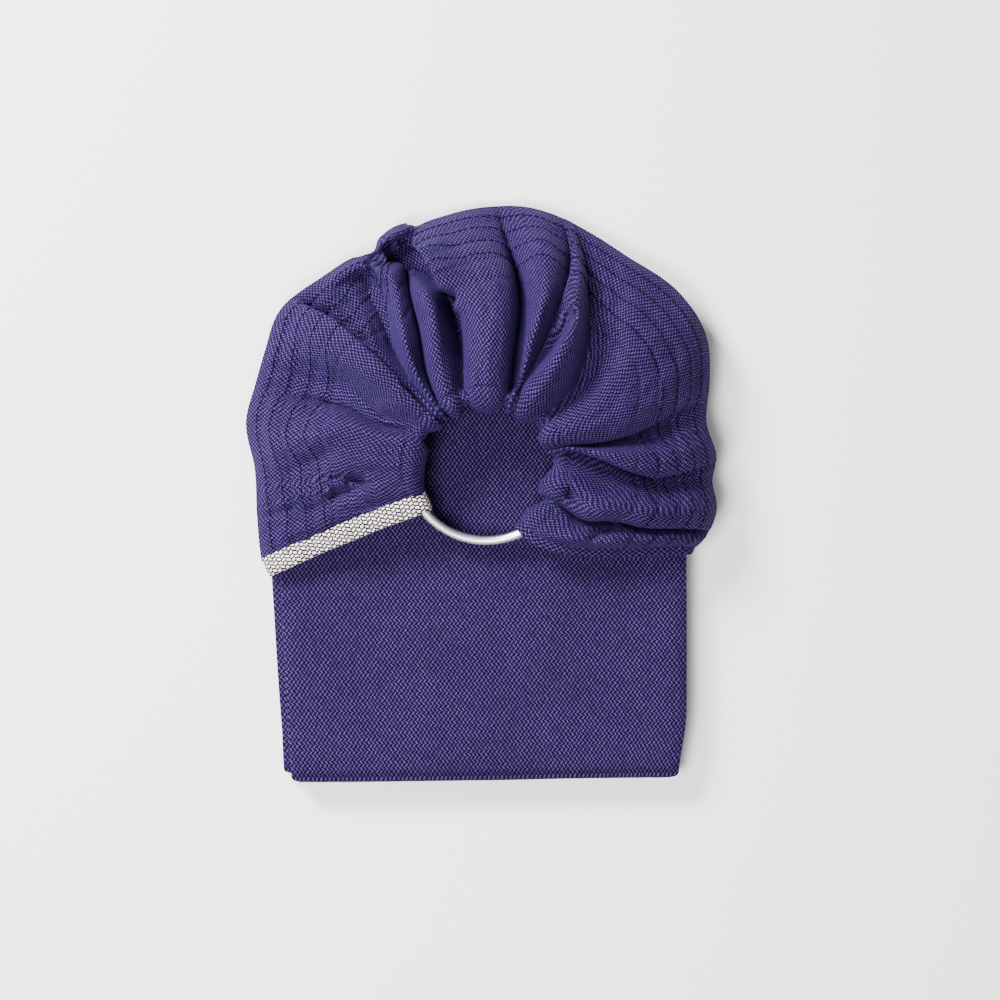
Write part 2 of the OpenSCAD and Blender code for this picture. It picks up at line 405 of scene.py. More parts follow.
def cross_section():
    """The strip folded in thirds: places (x, h, flat distance) across it, free edge to free edge."""
    half = STRIP_W / 2
    small, large = LAYER / 2, LAYER
    runs = []
    for x in np.linspace(half - OUTER_FREE, -half + small, 44):
        runs.append((x, 0.0))
    for a in np.linspace(0, math.pi, 7)[1:-1]:
        runs.append((-half + small - small * math.sin(a), small - small * math.cos(a)))
    for x in np.linspace(-half + small, half - large, 60):
        runs.append((x, LAYER))
    for a in np.linspace(0, math.pi, 9)[1:-1]:
        runs.append((half - large + large * math.sin(a), large * math.cos(a)))
    for x in np.linspace(half - large, -half + INNER_FREE, 44):
        runs.append((x, -LAYER))
    runs = np.array(runs)
    return runs[:, 0], runs[:, 1], run_length(runs)


def strip_path():
    """Middle of the strip from its free end: (y, z, normal y, normal z, panel place), and distances."""
    out = []
    low, high = FOOT_Y + TURN_BACK, HEAD_Y - TURN_BACK
    for k in range(PANELS):
        z = (panel_box[k][0][2] + panel_box[k][1][2]) / 2
        up = 1 if k % 2 == 0 else -1
        ys = (low, high) if up == 1 else (high, low)
        for t in np.linspace(0, 1, LEN_STEPS + 1):
            out.append((ys[0] + (ys[1] - ys[0]) * t, z, 0.0, up, k + t))
        if k == PANELS - 1:
            break
        for a in np.linspace(0, math.pi, TURN_STEPS + 1)[1:-1]:
            # The normal points to the turn's middle on odd panels and away from it on even ones.
            y = ys[1] + up * PITCH / 2 * math.sin(a)
            out.append((y, z + PITCH / 2 * (1 - math.cos(a)), -math.sin(a), up * math.cos(a), k + 1.0))
    out = np.array(out)
    return out, run_length(out[:, :2])


def round_corners(x, y):
    """Pulls points near the packet's corners in, onto an arc."""
    x0, x1 = -STRIP_W / 2 + CORNER_R, STRIP_W / 2 - CORNER_R
    y0, y1 = FOOT_Y + CORNER_R, HEAD_Y - CORNER_R
    cx, cy = np.clip(x, x0, x1), np.clip(y, y0, y1)
    dx, dy = x - cx, y - cy
    corner = (np.abs(dx) > 0) & (np.abs(dy) > 0)
    far = np.maximum(np.abs(dx), np.abs(dy))
    length = np.maximum(np.hypot(dx, dy), 1e-9)
    scale = np.where(corner, far / length, 1.0)
    return cx + dx * scale, cy + dy * scale


def packet_points():
    """The folded strip's points [along, across, 3], and the flat distances across and along it."""
    x, h, flat = cross_section()
    path, dist = strip_path()
    k = np.clip(path[:, 4], 0, PANELS - 1e-6)
    panel = np.round(k)[:, None]
    knot_x = np.arange(PANELS) + 0.5
    shift = np.interp(k, knot_x, PANEL_SHIFT)[:, None]
    taper = np.interp(k, knot_x, PANEL_TAPER)[:, None]
    y = path[:, 0:1] + h[None, :] * path[:, 2:3]
    z = path[:, 1:2] + h[None, :] * path[:, 3:4]
    x, y = np.broadcast_arrays(x[None, :], y)
    px, py = round_corners(x, y)
    # Sideways: the taper towards the foot, the wavy sides and the right edge.
    foot = np.clip((TAPER_Y - y) / TAPER_RUN, 0, 1)
    edge = smooth(np.abs(px) / (STRIP_W / 2))
    px = px + shift + taper * foot * np.clip(0.5 - px / STRIP_W, 0, 1)
    px = px + SIDE_WAVE * edge * np.sign(px) * packet_noise(y * 22 + 3.3 * panel, 0.5)
    end = smooth((np.abs(y - (FOOT_Y + HEAD_Y) / 2) - END_Y) / END_RUN)
    py = py + END_WAVE * end * packet_noise(px * 16, 5.1 * panel + 0.5)
    near_foot = smooth((FOOT_RUN_Y - y) / FOOT_RUN)
    across = np.clip(px / STRIP_W + 0.5, 0, 1)
    lower = np.clip(PANELS - 2 - k, 0, 1)[:, None]
    py = py + near_foot * (FOOT_SLANT * across + LOWER_IN * lower * (1 - across))
    px = px - RIGHT_IN * smooth((FOOT_Y + RIGHT_RUN - y) / RIGHT_RUN) * smooth(4 * across - 3)
    # Soft swelling of the whole stack, strongest at the top, and rolled edges.
    swell = octaves(packet_noise, px * 14 + 2, py * 11 + 5, 2)
    roll = ROLL * np.clip(1 - (y - FOOT_Y) / ROLL_IN, 0, 1) ** ROLL_SHAPE
    side = SIDE_ROLL * np.clip(1 - (STRIP_W / 2 - np.abs(x)) / SIDE_IN, 0, 1) ** 2
    pz = z * (1 + SWELL * swell) * (1 - roll - side)
    return np.stack([px, py, pz], axis=-1), flat, dist


strip, flat, dist = packet_points()
strip_uv = face_corners(np.stack(np.broadcast_arrays(flat[None, :], dist[:, None]), axis=-1))
strip_slots = np.broadcast_to((flat[1:] < RAIL_W).astype(int)[None, :], strip_uv.shape[:2])


def strip_piece(name, first, last):
    """The strip's cloth from one grid row to another, with the contrast rail in its own material."""
    piece = grid_piece(name, strip[first:last + 1], strip_uv[first:last], strip_slots[first:last])
    piece.data.materials.append(cloth_mat)
    piece.data.materials.append(rail_mat)
    thicken(piece)
    return piece


# Each panel follows its own part of the CAD; a short curved piece at each fold joins two of them and is
# attached to neither.
RUN = LEN_STEPS + TURN_STEPS    # grid rows from the start of one panel to the start of the next
for k in range(PANELS):
    first, last = k * RUN, k * RUN + LEN_STEPS
    panel = strip_piece(f"folded_cloth_{k + 1}", first, last)
    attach(panel, f"panel_{k + 1}")
    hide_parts(f"panel_{k + 1}")
    if k < PANELS - 1:
        turn = strip_piece(f"fold_{k + 1}", last, first + RUN)
        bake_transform(turn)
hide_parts("tail_hem")

# ---------------------------------------------------------------- fan: the gathered shoulder
# Rim radius about the middle of the rings, by angle in degrees, in millimetres.
RIM = [
    (-30, 121), (-23, 122), (-17, 128), (-10, 130), (-3, 126), (2, 128), (12, 125), (22, 134),
    (30, 142), (42, 145), (57, 142), (66, 144), (75, 147), (81, 148), (94, 145), (101.5, 142.5),
    (105, 142.5), (109, 145.5), (112, 145), (115.5, 142), (118, 137.5), (122.5, 139), (130, 140),
    (143, 144), (152, 139), (160, 136.5), (169, 136), (180, 128.5), (192, 130), (203, 135),
]
# The valleys between the pleats: the angle of each at these places from the rings to the rim.
PLACES = [0, 0.2, 0.4, 0.6, 0.8, 1]
VALLEYS = [
    (203, 202, 202, 202, 202.3, 202.6),      # rail edge
    (154, 157, 156, 158, 159.5, 161),
    (136, 137, 137.5, 137.5, 137.5, 138),
    (130, 129.3, 127, 121.5, 119.3, 120),
    (128, 123.5, 117.5, 115, 112.5, 114),
    (105, 101, 99.5, 100.5, 104.5, 107),
    (72, 76, 77.5, 81, 85, 88),
    (66, 65, 64.5, 64.5, 67, 73),
    (41, 43, 49, 57, 63, 70),
    (15, 13, 13, 14.5, 16, 17),
    (13, 5, 0, -2, -0.5, 1.5),
    (-26, -28, -22, -20, -17, -15.5),
    (-56, -46, -37, -30, -24.5, -20.5),      # lower right edge
]
# Depth of each valley at the same places, in millimetres.
DEPTHS = [
    (1, 1, 1, 1, 1, 0.5),
    (6, 12, 11, 8, 4, 0.5),
    (6, 11, 13, 13, 11, 0.5),
    (6, 12, 14, 14, 11, 0.5),
    (6, 13, 15, 15, 14, 3),
    (7, 15, 19, 19, 14, 1),
    (8, 15, 16, 13, 6, 0.5),
    (6, 12, 14, 12, 5, 0.5),
    (6, 11, 10, 7, 4, 0.5),
    (6, 12, 13, 11, 6, 1),
    (6, 12, 14, 14, 9, 2),
    (5, 10, 11, 10, 7, 2),
    (1, 2, 2, 2, 1, 0.5),
]
# Share of each valley's depth that is wide and shallow; the rest is a narrow crevice.
BROAD = [0.3, 0.5, 0.8, 0.6, 0.55, 0.65, 0.65, 0.8, 0.85, 0.45, 0.8, 0.5, 0.3]
UPRIGHT = (0, 0, 0, 0, 0, 0)    # a side that doesn't overhang
Pleat = namedtuple("Pleat", "crest place left right lip_left lip_right", defaults=(UPRIGHT, UPRIGHT))
# crest: height at the same places (mm); place: where the crest lies across the pleat, 0 to 1;
# left, right: below 1 the side rises at once, above 1 it stays low and then rises;
# lip_left, lip_right: how far the side overhangs its valley, in degrees, at the same places.
PLEATS = [
    Pleat((4, 5, 6, 6, 4, 0.5), 0.74, 1.0, 0.75),                   # broad left panel
    Pleat((4, 10, 13, 14, 12, 1), 0.88, 1.7, 0.4, (0, 3, 2, 1, 0, 0), (1, 2.5, 3, 3, 2.5, 0)),
    Pleat((1, -4, -6, -7, -5, 1), 0.5, 1.0, 1.0),                   # hollow with a flat floor
    Pleat((4, 9, 11, 12, 11, 2), 0.5, 0.55, 0.6, (1, 1.5, 1.5, 1.5, 1.2, 0), (1, 1.5, 1.5, 1.5, 1, 0)),
    Pleat((4, 9, 12, 12, -9, -2), 0.42, 0.9, 1.5),                  # narrow ridge, low at the rim
    # The broad tongue.
    Pleat((5, 11, 14, 15, 11, 3.5), 0.50, 0.5, 0.6, (0, 0.5, 1, 2, 1, 0), (0, 1, 1, 1, 0, 0)),
    Pleat((4, 8, 11, 12, 10, 2), 0.56, 1.2, 0.9),
    Pleat((4, 9, 13, 13, 9, 2), 0.42, 0.6, 0.9, (0, 1, 1.5, 2, 1, 0)),
    Pleat((4, 6, 8, 7, 4.5, 1.2), 0.58, 1.5, 0.6, UPRIGHT, (1, 2.5, 3.5, 4, 3, 1)),
    Pleat((4, 7, 10, 10, 7.5, 2), 0.74, 1.6, 0.42, UPRIGHT, (0, 1, 2.5, 2.5, 2, 1)),
    Pleat((6.5, 8, 10, 11, 9, 3), 0.72, 2.2, 0.40, UPRIGHT, (1, 2, 2.5, 2.5, 2, 1)),
    Pleat((3, 5, 7, 7, 6, 3), 0.60, 1.5, 0.8),                      # lowest fold
]
# Single creases and hollows, and ridges where the depth is negative: points (x, y, depth), the
# widths of the left and right slopes as seen when going along the points, and on some how far the
# cloth leans over to the right there. All in millimetres.
CREASES = [
    ([(47, 106, 4), (50, 98, 11), (46, 90, 12), (39, 79, 9), (32, 69, 4)], 1.8, 6.5),
    ([(-60, 132, 12), (-52, 135, 32), (-44, 137, 38), (-34, 130.5, 32), (-27.5, 121, 18)], 4.5, 6.0),
    ([(-64, 132, -4), (-57, 140.5, -17), (-49, 146.5, -18), (-38, 150, -6)], 4.5, 2.2, 3.0),
    ([(-38, 149, -6), (-28, 138.5, -18), (-20, 125, -16), (-13.5, 109, -3)], 8.0, 1.6, 7.0),
    ([(-27, 121, 6), (-20, 112, 12), (-14.5, 102, 12), (-12, 91, 8), (-11, 79, 4)], 1.4, 4.5),
    ([(-89, 106, -1), (-81.5, 119, -4), (-69, 127, -9), (-60, 128, -13), (-54, 120, -7)], 4.0, 3.2),
    ([(22, 100, 2), (23, 86, 5), (21, 73, 11), (19, 61, 12)], 3.2, 3.2),
    ([(-116, 62, 1), (-98, 64, 3), (-80, 62, 4), (-58, 54, 3)], 9.0, 7.0),
    ([(-88, 108, -1), (-78, 96, -3), (-66, 83.5, -4), (-53, 70, -3), (-42, 58, -1)], 1.8, 6.0, -2.5),
    ([(-63, 121, 4), (-58, 111, 9), (-52.5, 98, 9), (-48, 84, 7), (-42, 69, 2)], 2.2, 7.0),
    ([(-67, 56, 1.5), (-60.5, 49.6, 4), (-53, 43, 5), (-42, 39.4, 2)], 4.0, 1.6),
    ([(-70, 10, 9), (-65, 8.5, 9)], 1.8, 3.8),
    ([(-80, 2, 9), (-73, 3.5, 8)], 1.8, 4.4),
    ([(-117, -9.9, 2), (-107, -8, 2.4), (-97.7, -2.5, 0.5)], 1.2, 4.5),
    ([(-113.5, 21.8, -1.5), (-88.3, 33, -2)], 6.0, 8.0),
    ([(-101, 13, 1.6), (-84, 24, 2), (-66, 30.8, 1)], 5.0, 7.0),
    ([(40, 16, 5), (41, 9, 10), (46, 3, 9), (56, -4, 3)], 3.2, 3.2),
    ([(38, 18, -2), (32.5, 9, -3.5), (36, -2, -3.5), (48, -11, -2)], 2.4, 2.4),
    ([(60, 136, 0.5), (74, 112, 2.2), (70, 84, 2.6), (62, 66, 2)], 8.0, 7.0),
    ([(112, 96, 0), (96, 70, 1.6), (74, 48, 1.2)], 9.0, 6.0),
    ([(-108, 92, 0.5), (-92, 72, 1.8), (-74, 66, 1.2)], 7.0, 6.0),
    ([(74, -16.5, 7), (65, -22.5, 6), (58.5, -27.2, 2)], 2.2, 4.2),
]
COLS_PER_MM = 1.35              # grid columns per millimetre of arc, at the radius COLS_R
COLS_R = 92
EXTRA_COLS, LEAST_COLS = 24, 26  # more for each pleat's sides, and the fewest that a pleat gets
EVEN = 0.45                     # 1 spaces a pleat's columns evenly, 0 crowds them at the valleys
HOLE_STEPS = 22
UNDER_STEPS = 26
OVER_STEPS = 116
HEM_STEPS = 9
END_TAPER = 8 * MM              # a leaning crease starts and ends over this length
HEM = 11 * MM                   # width of the rim's hem, which is turned under
HEM_R = 0.75 * MM               # radius of its turn
CREVICE_W = 3.0 * MM            # distance over which the narrow part of a valley fades
INNER_R, SPAN = 42, 97          # mean radius of the fan at the rings, and from there to the rim (mm)
LIP = 0.12                      # an overhang is widest this share of a pleat in from the valley
FAN_WEAVE = 1.1                 # the gathered cloth is drawn a little closer together
WEAVE_STEP = 0.0613             # the weave starts afresh on each pleat, this far on
SLEEVE_R, SLEEVE_H = 6.2 * MM, 9.2 * MM  # the cloth round both wires: half its width and height
GROW_LEAST, GROW_MOST = -1.8 * MM, 6.5 * MM  # how far a pleat may stand in or out round the wires
UNDER_GAP, UPPER_GAP = 1.0 * MM, 2.6 * MM  # least height of the two leaves above the packet
HEAD_DROOP, SIDE_DROOP, SIDE_X = 0.26, 0.35, 116 * MM  # slopes past the head, and past this x
CROWN = 3.0 * MM                # how much the upper leaf arches up between the rings and the rim
RIM_ROUND = 2.2 * MM            # the rim is rounded down by this much, over this distance
SOFT, GATHER, PUCKER = 2.2 * MM, 0.8 * MM, 0.55 * MM  # heights of the small folds
GATHER_END = 0.16               # share of the way out over which the gathers fade
SEAM_DIP, SEAM_W = 1.1 * MM, 1.2 * MM  # depth and half width of the groove at a row of stitches
SEWN_PAST = 8 * MM              # the puckers end this far past the last row of stitches
FOLD_COLS = 9.0                 # grid columns in one unit of the noise
RIM_T = 7.0 * MM                # height of the rim above the packet
MID_Z = (FRONT_Z + BACK_Z) / 2
WRAP_FROM, WRAP_TO = 292, 62    # the cloth goes round the wires between these angles, in degrees
fan_noise = Noise(23)
fine_noise = Noise(41)


def deck_height(x, y):
    """Height of what the fan lies on; past the packet's head and sides it slopes down."""
    return DECK - HEAD_DROOP * np.maximum(0, y - HEAD_Y) - SIDE_DROOP * np.maximum(0, np.abs(x) - SIDE_X)


def rim_radius(a):
    return knots(RIM, a) * MM


def by_place(rows, v):
    """Interpolates each row of six values at v: returns [len(rows), len(v)]."""
    return np.array([knots(list(zip(PLACES, r)), v) for r in rows])


# Columns: how many each pleat gets, by its width half way to the rim.
mid = by_place(VALLEYS, np.array([0.5]))[:, 0]
pleat_cols = [
    max(LEAST_COLS, int(round(abs(a - b) * math.pi / 180 * COLS_R * COLS_PER_MM + EXTRA_COLS)))
    for a, b in zip(mid, mid[1:])
]
starts = np.concatenate([[0], np.cumsum(pleat_cols)])
N_COLS = starts[-1] + 1


def bulge(t, width):
    """0 at t = 0, 1 at t = width, and back towards 0."""
    return (t / width * np.exp(1 - t / width)) ** 2


def lateral(v):
    """For places v [rows]: angle [rows, cols] and pleat lift [rows, cols] in metres."""
    valley, depth = by_place(VALLEYS, v), by_place(DEPTHS, v) * MM
    angle = np.zeros((len(v), N_COLS))
    lift = np.zeros((len(v), N_COLS))
    crests, left_lips, right_lips = (
        by_place([getattr(p, key) for p in PLEATS], v) for key in ("crest", "lip_left", "lip_right")
    )
    for i, p in enumerate(PLEATS):
        s = slice(starts[i], starts[i + 1] + 1)
        even = np.linspace(0, 1, pleat_cols[i] + 1)[None, :]
        t = EVEN * even + (1 - EVEN) * (1 - np.cos(np.pi * even)) / 2
        up = np.sin(np.pi / 2 * np.clip(t / p.place, 0, 1) ** p.left)
        down = np.sin(np.pi / 2 * np.clip((1 - t) / (1 - p.place), 0, 1) ** p.right)
        hump = np.where(t < p.place, up, down)
        angle[:, s] = valley[i][:, None] + (valley[i + 1] - valley[i])[:, None] * t
        angle[:, s] += left_lips[i][:, None] * bulge(t, LIP)
        angle[:, s] -= right_lips[i][:, None] * bulge(1 - t, LIP)
        low = depth[i][:, None] * (1 - t) + depth[i + 1][:, None] * t
        radius = (INNER_R + SPAN * v[:, None]) * MM
        width = np.radians(np.abs(valley[i] - valley[i + 1]))[:, None] * radius
        crevice = np.minimum(t, 1 - t) * width / CREVICE_W
        sag = (BROAD[i] * (1 - t) + BROAD[i + 1] * t) * low
        lift[:, s] = (crests[i][:, None] * MM + sag) * hump - sag - (low - sag) * np.exp(-crevice**2)
    return angle, lift


def taper_ends(path, x, y):
    """1 along the middle of a path, falling to 0 at its two ends."""
    ends = [np.hypot(x - p[0], y - p[1]) for p in (path[0], path[-1])]
    return smooth(np.minimum(*ends) / END_TAPER)


def crease_shape(x, y):
    """How far the single creases lower the cloth at x, y, and how far they move it sideways."""
    drop = np.zeros_like(x)
    shift = np.zeros((2,) + x.shape)
    for points, left, right, *lean in CREASES:
        path = np.array(points, float) * MM
        nearest = np.full(x.shape, np.inf)
        own, lean_x, lean_y = np.zeros((3,) + x.shape)
        for a, b in zip(path, path[1:]):
            along = b[:2] - a[:2]
            length = np.hypot(*along)
            t = np.clip(((x - a[0]) * along[0] + (y - a[1]) * along[1]) / length**2, 0, 1)
            dx, dy = x - a[0] - along[0] * t, y - a[1] - along[1] * t
            far = np.hypot(dx, dy)
            on_left = along[0] * dy - along[1] * dx > 0
            width = np.where(on_left, left, right) * MM
            near = np.exp(-((far / width) ** 2))
            value = (a[2] + (b[2] - a[2]) * t) * near
            closer = far < nearest
            own = np.where(closer, value, own)
            if lean:
                way = lean[0] * MM * near / length
                lean_x = np.where(closer, way * along[1], lean_x)
                lean_y = np.where(closer, -way * along[0], lean_y)
            nearest = np.minimum(far, nearest)
        drop += own
        if lean:
            shift += np.stack([lean_x, lean_y]) * taper_ends(path, x, y)
    return drop, shift


def wire_place(a):
    """Distance of the tilted ring from its middle, seen from above, and its height, at angle a."""
    r = RING_R / np.sqrt(np.cos(a) ** 2 + (np.sin(a) / math.cos(TILT)) ** 2)
    return r, r * np.sin(a) * math.tan(TILT)


def fan_place(a, r):
    """x and y at the angle a about the rings and the distance r from their middle."""
    return RING_X + r * np.cos(a), RING_Y + r * np.sin(a)


def under_leaf():
    """The underside, from the rim in to the rings."""
    v = np.linspace(1.0, 0.0, UNDER_STEPS)
    angle, lift = lateral(v)
    a, v = np.radians(angle), v[:, None]
    wire_r, wire_z = wire_place(np.radians(lateral(np.zeros(1))[0]))
    outer, inner = rim_radius(np.degrees(a)) - 1.5 * MM, wire_r + SLEEVE_R * 0.4
    x, y = fan_place(a, inner + (outer - inner) * v)
    floor = deck_height(x, y) + UNDER_GAP
    sleeve_z = MID_Z + wire_z - SLEEVE_H
    z = floor + np.maximum(0, sleeve_z - floor) * (1 - v) ** 3
    fold = np.clip(-lift, -4 * MM, 11 * MM) * np.sin(np.pi * v) ** 0.6
    return np.stack([x, y, np.maximum(floor, z + 0.8 * fold)], -1)


def hole_wrap():
    """Round the wires, through the hole."""
    phi = np.radians(np.linspace(WRAP_FROM, WRAP_TO, HOLE_STEPS))
    angle, lift = lateral(np.zeros(HOLE_STEPS))
    a = np.radians(angle)
    wire_r, wire_z = wire_place(a)
    # The pleats start at nothing underneath and grow round the wires.
    full = smooth((1 - np.cos(phi - phi[0])) / 1.2)[:, None]
    grow = 0.8 * np.clip(lift, GROW_LEAST, GROW_MOST) * full
    x, y = fan_place(a, wire_r + (SLEEVE_R + grow) * np.cos(phi)[:, None])
    z = MID_Z + wire_z + (SLEEVE_H + grow) * np.sin(phi)[:, None]
    return np.stack([x, y, np.maximum(z, deck_height(x, y) + UNDER_GAP)], -1)


def cloth_relief(v, r, inset):
    """Height of the small folds: soft ones along the cloth, gathers at the rings, sewn rows."""
    cloth_u = np.arange(N_COLS)[None, :] / FOLD_COLS
    soft = octaves(fan_noise, cloth_u * 0.55, r * 30, 3)
    z = SOFT * soft * np.sin(np.pi * np.clip(v, 0.02, 1)) ** 0.5
    z = z + GATHER * octaves(fine_noise, cloth_u * 1.6, r * 12, 2) * np.exp(-v / GATHER_END)
    # Stitched rows pull in, with puckers between them.
    for d in SEAM_INSETS:
        z = z - SEAM_DIP * np.exp(-((inset - d) / SEAM_W) ** 2)
    sewn = smooth((SEAM_INSETS[-1] + SEWN_PAST - inset) / (10 * MM)) * smooth(inset / (4 * MM))
    return z + PUCKER * fine_noise(cloth_u * 3.1, r * 60) * sewn


def upper_leaf():
    """The upper leaf, from the rings out to the rim, and the rim's angles."""
    v = np.linspace(0.0, 1.0, OVER_STEPS)
    angle, lift = lateral(v)
    a, v = np.radians(angle), v[:, None]
    wire_r, wire_z = wire_place(a[0:1])
    outer, inner = rim_radius(np.degrees(a)), wire_r + SLEEVE_R * 0.55
    r = inner + (outer - inner) * v
    x, y = fan_place(a, r)
    inset = outer - r
    crest = MID_Z + wire_z + SLEEVE_H * 0.95
    rim_z = deck_height(x, y) + RIM_T
    base = crest + (rim_z - crest) * v**1.2 + CROWN * np.sin(np.pi * v) * (1 - v)
    rim_drop = RIM_ROUND * np.exp(-inset / RIM_ROUND)
    crease, lean = crease_shape(x, y)
    z = base + lift - rim_drop - crease + cloth_relief(v, r, inset)
    z = np.maximum(z, deck_height(x, y) + UPPER_GAP)
    return np.stack([x + lean[0], y + lean[1], z], -1)[1:], a[-1]


def turned_hem(rim, a):
    """The rim's hem, turned under; rim is the leaf's last row of points, at the angles a."""
    out = np.stack([np.cos(a), np.sin(a)], -1)
    rows = []
    for i in range(1, HEM_STEPS + 1):
        # The first third of the rows goes round the turn and the rest run back in.
        t = 3 * i / HEM_STEPS
        turn = min(1.0, t) * math.pi
        back = max(0.0, t - 1) / 2 * HEM
        row = rim.copy()
        row[:, :2] += out * (HEM_R * math.sin(turn) - back)
        row[:, 2] -= HEM_R * (1 - math.cos(turn))
        rows.append(row)
    return np.array(rows)


def soften(grid, passes):
    """Smooths a grid of points. Its first and last rows are held, and its sides slide along."""
    g = grid.copy()
    for _ in range(passes):
        inner = (g[:-2, 1:-1] + g[2:, 1:-1] + g[1:-1, :-2] + g[1:-1, 2:]) / 4
        g[1:-1, 1:-1] = 0.5 * g[1:-1, 1:-1] + 0.5 * inner
        g[1:-1, 0] = 0.5 * g[1:-1, 0] + 0.25 * (g[:-2, 0] + g[2:, 0])
        g[1:-1, -1] = 0.5 * g[1:-1, -1] + 0.25 * (g[:-2, -1] + g[2:, -1])
    return g


def arc_uv(grid):
    """UVs that keep the weave's size: across from each pleat's crest, along from the rings."""
    step = np.linalg.norm(np.diff(grid, axis=0), axis=2)
    along = np.concatenate([np.zeros((1, grid.shape[1])), np.cumsum(step, axis=0)])
    faces = np.zeros((grid.shape[0] - 1, grid.shape[1] - 1, 4, 2))
    side = np.linalg.norm(np.diff(grid, axis=1), axis=2)
    for i, p in enumerate(PLEATS):
        a, b = starts[i], starts[i + 1]
        run = np.concatenate([np.zeros((grid.shape[0], 1)), np.cumsum(side[:, a:b], axis=1)], axis=1)
        crest_col = int(round(p.place * (b - a)))
        u = i * WEAVE_STEP + run - run[:, crest_col:crest_col + 1]
        w = along[:, a:b + 1]
        w = w * 0.5 + w.mean(axis=1, keepdims=True) * 0.5
        faces[:, a:b] = face_corners(np.stack([u, w], -1) * FAN_WEAVE)
    return faces


under, hole = under_leaf(), hole_wrap()
over, rim_angles = upper_leaf()
whole = np.concatenate([under, hole, over, turned_hem(over[-1], rim_angles)])
whole[1:-HEM_STEPS] = soften(whole, 3)[1:-HEM_STEPS]
first_over = len(under) + len(hole)
upper = whole[first_over:first_over + len(over)]
fan = grid_piece("shoulder_cloth", whole, arc_uv(whole))
fan.data.materials.append(cloth_mat)
thicken(fan)
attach(fan, "shoulder")
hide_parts("shoulder_gather")

# ---------------------------------------------------------------- seams
SEAM_ENDS = 4                   # grid columns left free at each end of a row of stitches
SEAM_START = 2 * MM             # the first stitch starts this far along the row
THREAD_UP, THREAD_IN = 0.22 * MM, 0.2 * MM  # how far a stitch stands out, and its ends go in


def grid_normals(grid):
    normals = np.cross(np.gradient(grid, axis=1), np.gradient(grid, axis=0))
    return normals / np.maximum(np.linalg.norm(normals, axis=2), 1e-12)[..., None]


upper_normals = grid_normals(upper)
upper_normals *= np.sign(upper_normals[..., 2].mean())


def upper_point(col, inset):
    """Point of the upper leaf in column col, the distance inset in from the rim, and its normal."""
    line, normal = upper[::-1, col], upper_normals[::-1, col]
    back = run_length(line)
    return [np.interp(inset, back, values[:, k]) for values in (line, normal) for k in range(3)]


def seam_row(number, inset):
    """A row of stitches, each a short thread that comes up out of the cloth and goes back in."""
    line = np.array([upper_point(c, inset) for c in range(SEAM_ENDS, N_COLS - SEAM_ENDS)])
    run = run_length(line[:, :3])
    bm = bmesh.new()
    begin = SEAM_START
    while begin + STITCH < run[-1]:
        path = []
        for t in (0, 0.15, 0.5, 0.85, 1):
            at = [np.interp(begin + t * STITCH, run, line[:, k]) for k in range(6)]
            lift = CLOTH * 0.5 + (THREAD_UP if 0 < t < 1 else -THREAD_IN)
            path.append(Vector(at[:3]) + Vector(at[3:]).normalized() * lift)
        tube_mesh(bm, path, [THREAD_R * 0.7, THREAD_R, THREAD_R, THREAD_R, THREAD_R * 0.7])
        begin += STITCH_STEP
    piece = piece_from(f"stitches_{number}", bm)
    piece.data.materials.append(thread_mat)
    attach(piece, "shoulder")
    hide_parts(f"seam_row_{number}")
    return piece


stitches = [seam_row(i + 1, d) for i, d in enumerate(SEAM_INSETS)]

# ---------------------------------------------------------------- rails
RAIL_STEP = 1.2 * MM            # spacing of the band's rows
RAIL_LAP = 1.5 * MM             # how far the band reaches in over the cloth
RAIL_T = 0.9 * MM               # from the band's middle to each of its two faces
RAIL_CROWN = 0.35 * MM          # how much its top face bulges
RAIL_CLOTH = 0.8 * MM           # thickness of the band's cloth
RAIL_HOLE_ROWS, RAIL_HEM_ROWS = 16, 4  # grid rows that the band goes on past the leaf's two ends


def rail_path(col):
    """The fan's edge in grid column col, evenly spaced and smoothed, and the distances along it."""
    line = whole[first_over - RAIL_HOLE_ROWS:RAIL_HEM_ROWS - HEM_STEPS, col]
    run = run_length(line)
    samples = np.linspace(0, run[-1], int(run[-1] / RAIL_STEP))
    path = np.stack([np.interp(samples, run, line[:, k]) for k in range(3)], -1)
    for _ in range(12):
        path[1:-1] = (path[:-2] + 2 * path[1:-1] + path[2:]) / 4
    return path, samples


def rail_section(width):
    """Section of the band, (outward, up): a flat loop, folded over the cloth's edge."""
    section = [(t * width - RAIL_LAP, RAIL_T + RAIL_CROWN * math.sin(math.pi * t))
               for t in np.linspace(0, 1, 9)]
    for a in np.radians(np.linspace(90, -90, 7)[1:-1]):
        section.append((width - RAIL_LAP + RAIL_T * math.cos(a), RAIL_T * math.sin(a)))
    section += [(t * width - RAIL_LAP, -RAIL_T) for t in np.linspace(1, 0, 9)]
    return np.array(section)


def rail(name, col, width, sense, material, node):
    """A folded edge band along the fan's side: col is the edge column, sense the side it lies on."""
    path, samples = rail_path(col)
    ahead = unit(np.gradient(path, axis=0))
    level = np.zeros(len(path))
    outward = unit(np.stack([path[:, 0] - RING_X, path[:, 1] - RING_Y, level], -1))
    side = np.stack([-outward[:, 1], outward[:, 0], level], -1) * sense
    side = unit(side - ahead * np.sum(side * ahead, axis=1)[:, None])
    up = np.cross(ahead, side) * sense
    up = np.where(up[:, 2:] < -0.4, -up, up)
    section = rail_section(width)
    grid = path[:, None] + side[:, None] * section[None, :, 0:1] + up[:, None] * section[None, :, 1:2]
    uv = np.stack(np.broadcast_arrays(run_length(section)[None, :], samples[:, None]), -1)
    piece = grid_piece(name, grid, face_corners(uv))
    piece.data.materials.append(material)
    thicken(piece, RAIL_CLOTH)
    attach(piece, "shoulder")
    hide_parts(node)
    return piece


